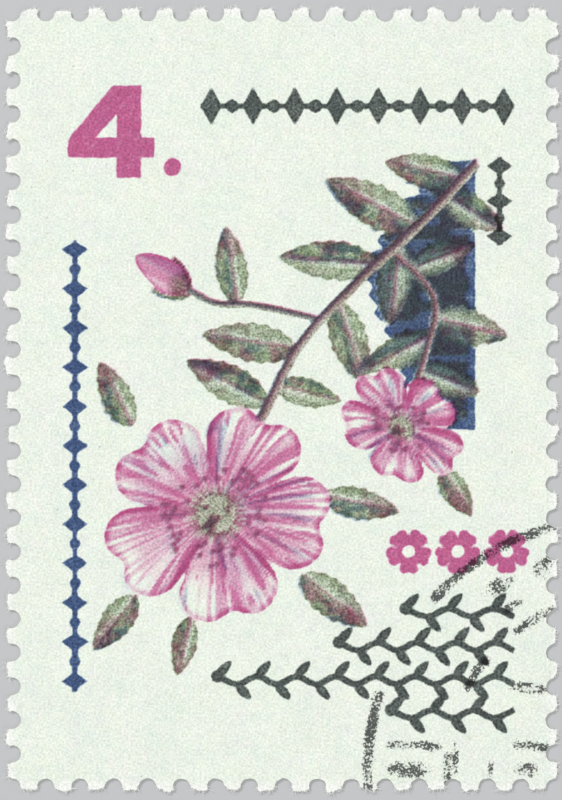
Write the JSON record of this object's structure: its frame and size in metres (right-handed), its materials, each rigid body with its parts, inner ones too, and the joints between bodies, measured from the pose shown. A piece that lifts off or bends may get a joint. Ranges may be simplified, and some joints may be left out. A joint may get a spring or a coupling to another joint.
{
  "type": "postage stamp",
  "caption": "Small upright paper stamp, perforated on all sides, with a printed spray of blossoms, a plain numeral, ornaments and a cancelling mark; gummed back.",
  "frame": {"origin": "on the gummed underside, under the middle of the sheet's bounding box", "axes": "+Z out of the printed face, +Y towards the top edge of the print, +X towards its right edge"},
  "size_m": [0.0264, 0.0374, 0.0001],
  "materials": {
    "paper": "uncoated white wove paper, faintly green with age",
    "gum": "dry cream gum with a low uneven gloss",
    "pink_ink": "matt grained litho ink",
    "green_ink": "matt grained litho ink",
    "blue_ink": "matt grained litho ink",
    "grey_ink": "matt litho ink",
    "postmark_ink": "thin broken stamping ink"
  },
  "bodies": {
    "root": {"bud_ink": "pink_ink", "floret_ink_1": "pink_ink", "floret_ink_2": "pink_ink", "floret_ink_3": "pink_ink", "foliage_ink_1": "green_ink", "foliage_ink_2": "green_ink", "foliage_ink_3": "green_ink", "foliage_ink_4": "green_ink", "foliage_ink_5": "green_ink", "foliage_ink_6": "green_ink", "foliage_ink_7": "green_ink", "gum_film": "gum", "large_blossom_ink": "pink_ink", "large_centre_ink": "green_ink", "left_chain_ink": "blue_ink", "numeral_dot_ink": "pink_ink", "numeral_ink": "pink_ink", "paper_sheet": "paper", "patch_ink_1": "blue_ink", "patch_ink_10": "blue_ink", "patch_ink_2": "blue_ink", "patch_ink_3": "blue_ink", "patch_ink_4": "blue_ink", "patch_ink_5": "blue_ink", "patch_ink_6": "blue_ink", "patch_ink_7": "blue_ink", "patch_ink_8": "blue_ink", "patch_ink_9": "blue_ink", "postmark_ink_1": "postmark_ink", "postmark_ink_2": "postmark_ink", "postmark_ink_3": "postmark_ink", "postmark_ink_4": "postmark_ink", "postmark_ink_5": "postmark_ink", "postmark_ink_6": "postmark_ink", "right_chain_ink": "grey_ink", "small_blossom_ink": "pink_ink", "small_centre_ink": "green_ink", "top_chain_ink": "grey_ink", "vine_ink_1": "grey_ink", "vine_ink_2": "grey_ink", "vine_ink_3": "grey_ink", "vine_ink_4": "grey_ink"}
  },
  "joints": []
}
